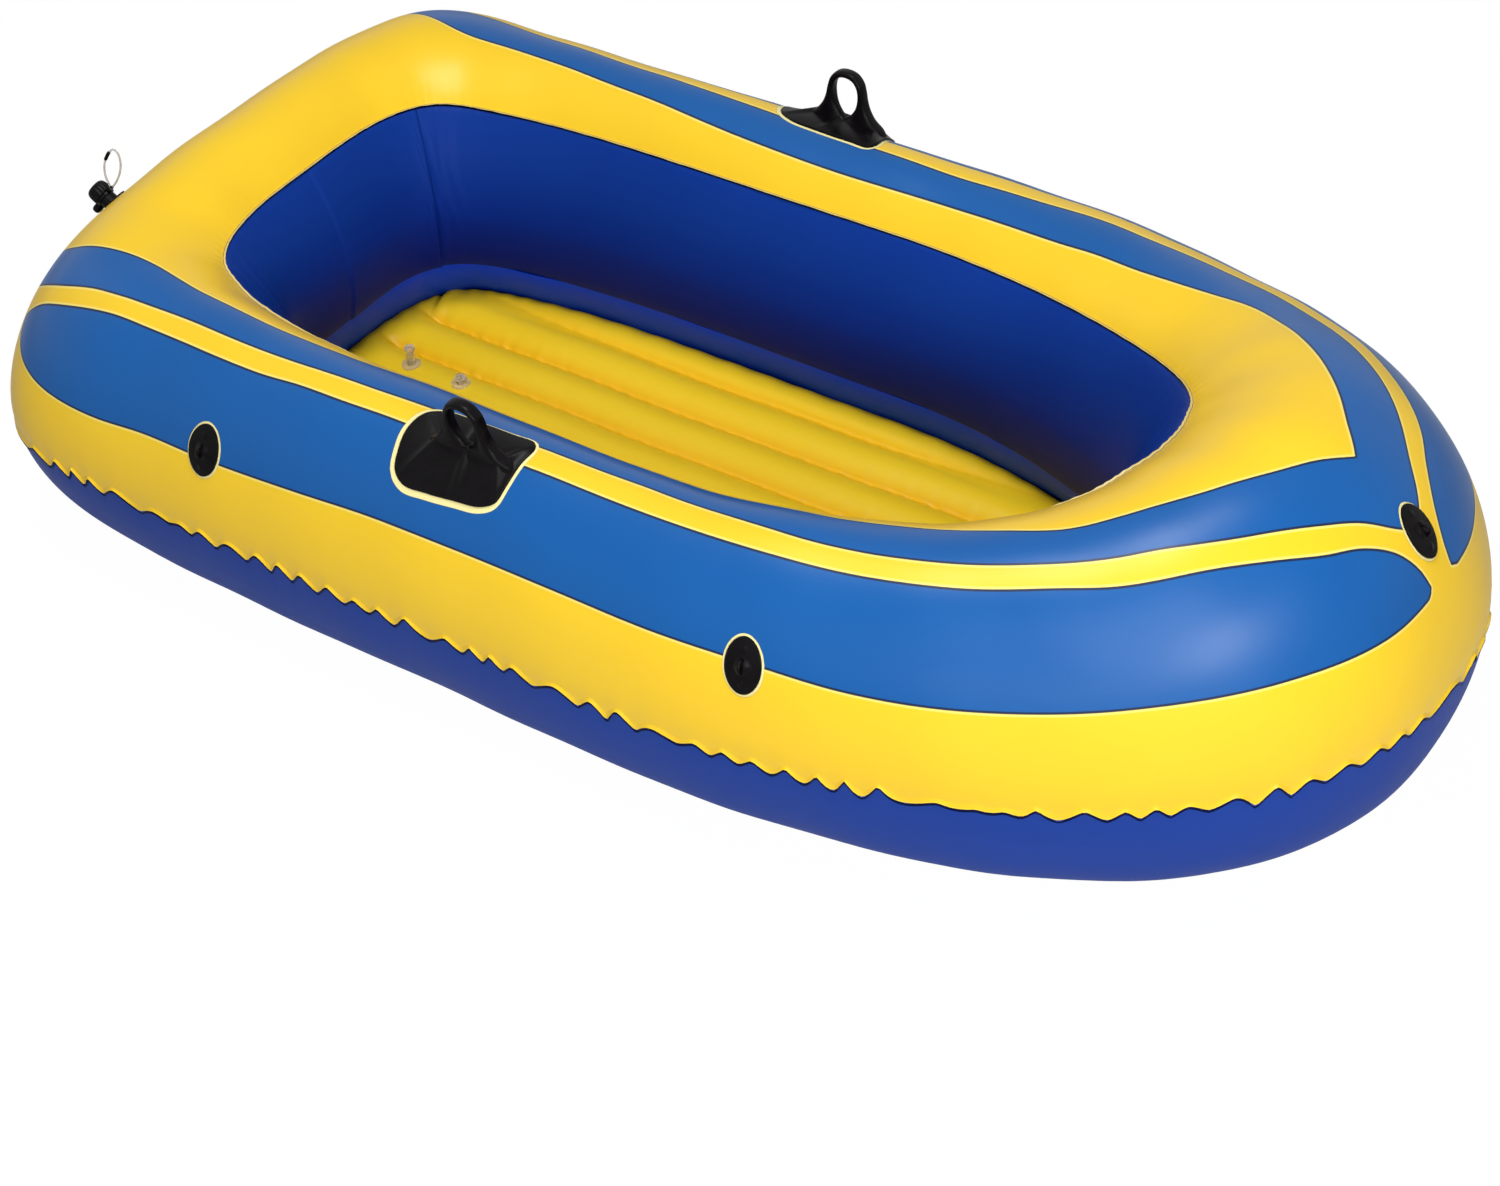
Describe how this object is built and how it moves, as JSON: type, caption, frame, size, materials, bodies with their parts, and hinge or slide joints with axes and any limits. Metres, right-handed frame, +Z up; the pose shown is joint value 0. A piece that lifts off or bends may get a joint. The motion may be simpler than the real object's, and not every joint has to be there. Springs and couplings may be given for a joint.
{
  "type": "inflatable boat",
  "caption": "Inflatable pool boat with a rounded bow, square stern, channelled air floor, moulded oarlocks, rope eyelets and soft valves.",
  "frame": {"origin": "Middle of the boat's box in plan, on the plane that the underside rests on.", "axes": "+X runs to the bow, +Y to port and +Z up; length along X, beam along Y, height along Z."},
  "size_m": [1.8488, 0.9728, 0.5024],
  "materials": {
    "deck_film": "gloss",
    "lower_film": "gloss",
    "wall_film": "gloss",
    "bottom_film": "gloss",
    "floor_film": "gloss",
    "black_moulding": "gloss",
    "valve_rubber": "satin",
    "clear_vinyl": "gloss"
  },
  "bodies": {
    "boat": {"bottom_sheet": "bottom_film", "eyelet_eye_aft_port": "black_moulding", "eyelet_eye_aft_starboard": "black_moulding", "eyelet_eye_bow": "black_moulding", "eyelet_eye_fore_port": "black_moulding", "eyelet_eye_fore_starboard": "black_moulding", "eyelet_eye_stern": "black_moulding", "eyelet_pad_aft_port": "black_moulding", "eyelet_pad_aft_starboard": "black_moulding", "eyelet_pad_bow": "black_moulding", "eyelet_pad_fore_port": "black_moulding", "eyelet_pad_fore_starboard": "black_moulding", "eyelet_pad_stern": "black_moulding", "floor_bottom_sheet": "floor_film", "floor_top_sheet": "floor_film", "floor_valve_flange_aft": "clear_vinyl", "floor_valve_flange_fore": "clear_vinyl", "hull_lower_panel": "lower_film", "hull_top_panel": "deck_film", "inner_wall_panel": "wall_film", "oarlock_loop_port": "black_moulding", "oarlock_loop_starboard": "black_moulding", "oarlock_pad_port": "black_moulding", "oarlock_pad_starboard": "black_moulding", "stern_valve_body": "valve_rubber", "stern_valve_flange": "valve_rubber"},
    "stern_collar": {"stern_valve_collar": "valve_rubber", "stern_valve_tether": "clear_vinyl", "stern_valve_bead": "valve_rubber"},
    "stern_cap": {"stern_valve_cap": "valve_rubber"},
    "aft_stem": {"floor_valve_stem_aft": "clear_vinyl"},
    "aft_plug": {"floor_valve_plug_aft": "clear_vinyl"},
    "fore_stem": {"floor_valve_stem_fore": "clear_vinyl"},
    "fore_plug": {"floor_valve_plug_fore": "clear_vinyl"}
  },
  "joints": [
    {"name": "stern_collar_swivel", "type": "hinge", "parent": "boat", "child": "stern_collar", "pos_m": [-0.87658, -0.19048, 0.37383], "axis": [-0.8213, -0.0556, 0.5678], "range_deg": [-60, 60]},
    {"name": "stern_cap_turn", "type": "hinge", "parent": "boat", "child": "stern_cap", "pos_m": [-0.87658, -0.19048, 0.37383], "axis": [-0.8213, -0.0556, 0.5678], "range_deg": [0, 720]},
    {"name": "aft_stem_slide", "type": "slide", "parent": "boat", "child": "aft_stem", "axis": [0, 0, 1], "range_m": [-0.0175, 0]},
    {"name": "aft_plug_pull", "type": "slide", "parent": "aft_stem", "child": "aft_plug", "axis": [0, 0, 1], "range_m": [0, 0.03]},
    {"name": "fore_stem_slide", "type": "slide", "parent": "boat", "child": "fore_stem", "axis": [0, 0, 1], "range_m": [0, 0.0175]},
    {"name": "fore_plug_pull", "type": "slide", "parent": "fore_stem", "child": "fore_plug", "axis": [0, 0, 1], "range_m": [0, 0.03]}
  ]
}
